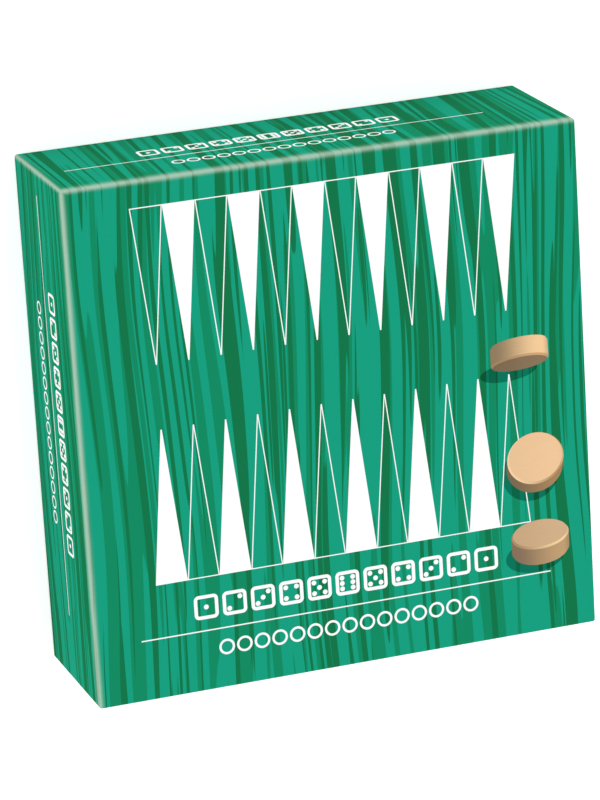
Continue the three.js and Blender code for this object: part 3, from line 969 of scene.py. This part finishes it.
class BACKGAMMON_OT_board(bpy.types.Operator):
    """Finish the wooden board: stained panel, beech frame and bar, and printed points"""

    bl_idname = "backgammon.board"
    bl_label = "Wooden board"

    def execute(self, context):
        sizes, colours = chosen(context)
        beech = shared("oiled_beech", wood, colours.beech, contrast=0.28)
        for run, side in enumerate(RAIL_SIDES):
            along_x = side in ("foot", "head")
            self.finish_wood(f"board_rail_{side}", "beech", beech, run, sizes.eased_edge, along_x)
        self.finish_wood("board_bar", "beech", beech, BAR_RUN, sizes.eased_edge)
        stained = shared(
            "green_stained_plywood", wood, colours.stain, contrast=0.22, roughness=0.45, fleck=0.7,
        )
        self.finish_wood("board_panel", "stained_panel", stained, PANEL_RUN)
        veneer = shared("bleached_veneer", wood, colours.veneer, contrast=0.1, roughness=0.45, fleck=0.35)
        for run, node in enumerate(POINT_NODES, FIRST_POINT_RUN):
            self.finish_wood(node, "white_veneer", veneer, run)
        self.open_points(sizes.point_line, white_ink(context))
        return {"FINISHED"}

    def open_points(self, line, ink):
        """Prints a line round each point that isn't inlaid; each lies one pitch beside an inlaid one."""
        pitch = (node_box("board_point_10")[0].x - node_box("board_point_12")[0].x) / 2
        rows = []
        for node, way in OPEN_RUNS:
            low, high = node_box("board_point_" + node)
            size = high - low
            shape = point_slab(size.x, way * size.y, line, high.z - INK_SINK, high.z + BOARD_INK)
            start = ((low.x + high.x) / 2 + way * pitch, low.y if way > 0 else high.y, 0)
            rows.append(row_of(shape, OPEN_POINTS_PER_RUN, start, (2 * pitch, 0, 0), ink))
        name = "board_point_lines"
        settle(new_piece(name, joined(name, rows), ink), "board", "stained_panel")

    def finish_wood(self, node, slot, material, run, edge=0, along_x=False):
        """A copy of a board piece with its own run of grain, along X or Y, and eased edges."""
        name = node + "_wood"
        mesh = mesh_of(name, copied_node(node))
        if edge:
            mesh = bevelled(mesh, edge, segments=3, degrees=40)
        else:
            smooth(mesh, degrees=35)
        set_grain(mesh, lambda co: (co.x + run, co.y, co.z) if along_x else (co.y + run, co.x, co.z))
        settle(new_piece(name, mesh, material), "board", slot, node)


# Loose pieces

# The dish in a checker's faces: its depth, where it bends, the depth left there, and its way off the edge
DISH = 0.12 * MM
DISH_BEND = 0.55
DISH_LEFT = 0.8
DISH_RIM = 1.6
# Each checker's grain is drawn from so many metres of wood
GRAIN_SEED = 15
GRAIN_SPREAD = 3
# The faces of a pip lie under a die's sides and off its edges
PIP_SINK = 0.02 * MM
PIP_MARGIN = 1.5 * MM
# Quarter turns of the doubling cube's numbers from its top to its sides
NUMBER_TURNS = (("X", 0), ("X", 2), ("X", 1), ("X", -1), ("Y", 1), ("Y", -1))
NUMBER_INK = 0.02 * MM
# The leaflet's small picture of the board
LEAFLET_PITCH = 5.5 * MM
LEAFLET_POINT = 24 * MM
LEAFLET_LINE = 0.35 * MM
LEAFLET_REACH = 32 * MM
LEAFLET_INK = 0.03 * MM


def turned_disc(radius, thickness, edge, segments=56, steps=5):
    """A disc with its axis along Y, turned with round edges and faces that dish a little."""
    half = thickness / 2
    profile = [(0, half - DISH), (DISH_BEND * radius, half - DISH_LEFT * DISH)]
    profile.append((radius - DISH_RIM * edge, half))
    profile += [(radius - inset, y) for inset, y in quarter_round(half, edge, -1, steps)]
    profile += [(r, -y) for r, y in reversed(profile)]
    bm = bmesh.new()
    around = [2 * math.pi * i / segments for i in range(segments)]
    rings = []
    for r, y in profile:
        angles = around if r else around[:1]
        rings.append([bm.verts.new((r * math.cos(angle), y, r * math.sin(angle))) for angle in angles])
    for a, b in zip(rings, rings[1:]):
        for i in range(segments):
            j = (i + 1) % segments
            corners = [a[i % len(a)], a[j % len(a)], b[j % len(b)], b[i % len(b)]]
            bm.faces.new(list(dict.fromkeys(corners)))
    bmesh.ops.recalc_face_normals(bm, faces=bm.faces)
    return bm


class BACKGAMMON_OT_checkers(bpy.types.Operator):
    """Turn the thirty checkers, each with its own run of grain"""

    bl_idname = "backgammon.checkers"
    bl_label = "Checkers"

    def execute(self, context):
        sizes, colours = chosen(context)
        woods = {
            "light": shared("natural_beech", wood, colours.light_checker, contrast=0.2),
            "dark": shared("dark_stained_beech", wood, colours.dark_checker, contrast=0.35, roughness=0.42),
        }
        chance = random.Random(GRAIN_SEED)
        for node in CHECKER_NODES:
            low, high = node_box(node)
            size = high - low
            mesh = mesh_of(node + "_wood", turned_disc(size.z / 2, size.y, sizes.turned_edge))
            turn = Matrix.Rotation(chance.uniform(0, 2 * math.pi), 3, "Y")
            shift = Vector([chance.uniform(0, GRAIN_SPREAD) for _ in range(3)])
            set_grain(mesh, lambda co: turn @ co + shift)
            smooth(mesh, degrees=50)
            mesh.transform(Matrix.Translation((low + high) / 2))
            kind = node.split("_")[0]
            settle(new_piece(node + "_wood", mesh, woods[kind]), node, kind + "_beech", node)
        return {"FINISHED"}


class BACKGAMMON_OT_dice(bpy.types.Operator):
    """Finish the dice with painted pips, and the doubling cube with its numbers"""

    bl_idname = "backgammon.dice"
    bl_label = "Dice and doubling cube"

    def execute(self, context):
        sizes, colours = chosen(context)
        resin = shared("ivory_resin", moulded, colours.resin, roughness=0.28)
        paint = shared("black_pip_paint", moulded, colours.pip, roughness=0.5)
        for node in DIE_NODES:
            bm = copied_node(node, dissolve=False)
            self.paint_pips(bm, node)
            self.finish_cube(node, bm, resin, paint)
        self.finish_cube("doubling_cube", copied_node("doubling_cube", dissolve=False), resin)
        self.numbers("doubling_cube", sizes.number_size, paint)
        return {"FINISHED"}

    def finish_cube(self, node, bm, *materials):
        """A smooth copy of a die or of the doubling cube."""
        mesh = mesh_of(node + "_resin", bm)
        smooth(mesh, degrees=32)
        settle(new_piece(node + "_resin", mesh, *materials), node, "ivory_resin", node)

    def paint_pips(self, bm, node):
        """Gives the faces of a die's pips its second material."""
        low, high = node_box(node)
        middle, half = (low + high) / 2, (high.x - low.x) / 2
        for face in bm.faces:
            _, inner, deepest = sorted(abs(value) for value in face.calc_center_median() - middle)
            is_pip = deepest < half - PIP_SINK and inner < half - PIP_MARGIN
            face.material_index = 1 if is_pip else 0

    def numbers(self, node, size, paint):
        """Paints the powers of two on a cube."""
        low, high = node_box(node)
        middle, half = (low + high) / 2, (high.x - low.x) / 2
        meshes = []
        for power, (axis, quarters) in enumerate(NUMBER_TURNS, 1):
            mesh = self.number(str(2 ** power), size)
            turn = Matrix.Rotation(quarters * math.pi / 2, 4, axis)
            mesh.transform(Matrix.Translation(middle) @ turn @ Matrix.Translation((0, 0, half)))
            meshes.append(mesh)
        name = node + "_numbers"
        settle(new_piece(name, joined(name, meshes), paint), node, "ivory_resin")

    def number(self, text, size):
        """Flat numerals about their middle, as a thin slab."""
        curve = bpy.data.curves.new("number", "FONT")
        curve.body = text
        curve.size = size
        curve.align_x = "CENTER"
        curve.align_y = "CENTER"
        curve.extrude = NUMBER_INK
        return closed(evaluated_mesh(linked("number", curve)))


class BACKGAMMON_OT_insert(bpy.types.Operator):
    """Finish the formed insert with the soft edges of drawn sheet"""

    bl_idname = "backgammon.insert"
    bl_label = "Insert"

    def execute(self, context):
        sizes, colours = chosen(context)
        mesh = mesh_of("insert_sheet", copied_node("insert_tray"))
        mesh = bevelled(mesh, sizes.formed_edge, segments=2, degrees=35)
        sheet = shared("formed_white_sheet", moulded, colours.sheet, roughness=0.42)
        settle(new_piece("insert_sheet", mesh, sheet), "insert", "white_sheet", "insert_tray")
        return {"FINISHED"}


class BACKGAMMON_OT_leaflet(bpy.types.Operator):
    """Finish the folded leaflet, with a small picture of the board"""

    bl_idname = "backgammon.leaflet"
    bl_label = "Leaflet"

    def execute(self, context):
        colours = context.scene.set_colours
        low, high = node_box("rules_leaflet")
        mesh = mesh_of("leaflet_paper", copied_node("rules_leaflet"))
        smooth(mesh, degrees=50)
        paper = shared("leaflet_paper", plain_paper, colours.leaf, roughness=0.85, mottle=0.02, fibre=0.5)
        settle(new_piece("leaflet_paper", mesh, paper), "leaflet", "paper", "rules_leaflet")
        ink = shared("leaflet_green_ink", plain_paper, colours.grain_mid, roughness=0.7, mottle=0.04)
        middle = (low + high) / 2
        mesh = point_rows(
            "leaflet_points", LEAFLET_PITCH, LEAFLET_POINT, LEAFLET_LINE, middle.y + LEAFLET_REACH,
            middle.y - LEAFLET_REACH, high.z - INK_SINK, high.z + LEAFLET_INK, ink, middle.x,
        )
        settle(new_piece("leaflet_points", mesh, ink), "leaflet", "paper")
        return {"FINISHED"}


# Stage

CAMERA_PLACE = Vector((-603.98, 605.61, 1885.71)) * MM
CAMERA_TARGET = Vector((-5.01, -3.01, 38.0)) * MM
CAMERA_ROLL = math.radians(-3.5)
CAMERA_LENS = 201.42
# Metres, and watts for the lamps
FLOOR_REACH = 8
VIEW_DEPTH = 50
LAMP_SIZE = 1.6
LAMPS = (
    ("left_lamp", (-2.2, 0.3, 0.9), 13.0),
    ("head_lamp", (0.3, 2.2, 0.9), 12.0),
    ("right_lamp", (2.2, -0.3, 0.9), 12.0),
    ("foot_lamp", (-0.3, -2.2, 0.9), 12.0),
)
# The world's light on the set, the white that the camera sees, and the floor's lift towards it
WORLD_LIGHT = 0.755
WORLD_SEEN = 1.0
FLOOR_LIFT = 0.43


def backdrop_paper(name, tone):
    """Matt pale backdrop paper, which the camera sees near white, with the set's soft shadow on it."""
    material, tree, shader = new_material(name, roughness=0.95, specular=0.0)
    shader.inputs["Base Color"].default_value = rgba(tone)
    shader.inputs["Emission Color"].default_value = rgba(tone)
    seen = add(tree, "ShaderNodeLightPath").outputs["Is Camera Ray"]
    lift = add(tree, "ShaderNodeMath", {0: seen, 1: FLOOR_LIFT}, operation="MULTIPLY")
    tree.links.new(lift.outputs[0], shader.inputs["Emission Strength"])
    return material


class BACKGAMMON_OT_stage(bpy.types.Operator):
    """Set the pale floor, the soft light and the camera"""

    bl_idname = "backgammon.stage"
    bl_label = "Stage"

    def execute(self, context):
        scene = context.scene
        scene.view_settings.view_transform = "Standard"
        bm = bmesh.new()
        bmesh.ops.create_grid(bm, x_segments=1, y_segments=1, size=FLOOR_REACH)
        ground = backdrop_paper("pale_floor", scene.set_colours.floor)
        floor = new_piece("floor", mesh_of("floor", bm), ground)
        scene.world = self.studio()
        for name, place, power in LAMPS:
            data = bpy.data.lights.new(name, "AREA")
            data.size = LAMP_SIZE
            data.energy = power
            lamp = linked(name, data)
            lamp.location = place
            lamp.rotation_euler = (-Vector(place)).to_track_quat("-Z", "Y").to_euler()
        scene.camera = self.camera()
        return {"FINISHED"}

    def studio(self):
        """A white world that lights the set less than it shows to the camera and in gloss."""
        world = bpy.data.worlds.new("studio")
        world.use_nodes = True
        tree = world.node_tree
        path = add(tree, "ShaderNodeLightPath").outputs
        seen = path["Is Camera Ray"]
        for ray in ("Is Glossy Ray", "Is Transmission Ray"):
            seen = add(tree, "ShaderNodeMath", {0: seen, 1: path[ray]}, operation="MAXIMUM").outputs[0]
        strength = add(tree, "ShaderNodeMapRange", {
            "Value": seen, "To Min": WORLD_LIGHT, "To Max": WORLD_SEEN,
        })
        background = tree.nodes["Background"]
        background.inputs["Color"].default_value = (1, 1, 1, 1)
        tree.links.new(strength.outputs[0], background.inputs["Strength"])
        return world

    def camera(self):
        """The camera where the photo was taken from, rolled as the photo is."""
        data = bpy.data.cameras.new("camera")
        data.lens = CAMERA_LENS
        data.clip_end = VIEW_DEPTH
        camera = linked("camera", data)
        ahead = (CAMERA_TARGET - CAMERA_PLACE).normalized()
        right = ahead.cross(Vector((0, 1, 0))).normalized()
        axes = Matrix((right, right.cross(ahead), -ahead)).transposed()
        turn = axes @ Matrix.Rotation(CAMERA_ROLL, 3, "Z")
        camera.matrix_world = Matrix.Translation(CAMERA_PLACE) @ turn.to_4x4()
        return camera


OPERATORS = (
    BACKGAMMON_OT_lid_wrap,
    BACKGAMMON_OT_cover_points,
    BACKGAMMON_OT_cover_rows,
    BACKGAMMON_OT_cover_checkers,
    BACKGAMMON_OT_base_wrap,
    BACKGAMMON_OT_insert,
    BACKGAMMON_OT_board,
    BACKGAMMON_OT_checkers,
    BACKGAMMON_OT_dice,
    BACKGAMMON_OT_leaflet,
    BACKGAMMON_OT_stage,
)


class BACKGAMMON_PT_panel(bpy.types.Panel):
    """Sidebar panel with the set's pieces, sizes and colours"""

    bl_idname = "BACKGAMMON_PT_panel"
    bl_label = "Backgammon Set"
    bl_space_type = "VIEW_3D"
    bl_region_type = "UI"
    bl_category = "Backgammon"

    def draw(self, context):
        layout = self.layout
        for operator in OPERATORS:
            layout.operator(operator.bl_idname)
        for group in chosen(context):
            column = layout.column(align=True)
            for name in group.__annotations__:
                column.prop(group, name)


CLASSES = (SetSizes, SetColours, *OPERATORS, BACKGAMMON_PT_panel)


def register():
    for cls in CLASSES:
        bpy.utils.register_class(cls)
    bpy.types.Scene.set_sizes = bpy.props.PointerProperty(type=SetSizes)
    bpy.types.Scene.set_colours = bpy.props.PointerProperty(type=SetColours)


def unregister():
    del bpy.types.Scene.set_colours
    del bpy.types.Scene.set_sizes
    for cls in reversed(CLASSES):
        bpy.utils.unregister_class(cls)


def main():
    register()
    for operator in OPERATORS:
        family, name = operator.bl_idname.split(".")
        getattr(getattr(bpy.ops, family), name)()


if __name__ == "__main__":
    main()
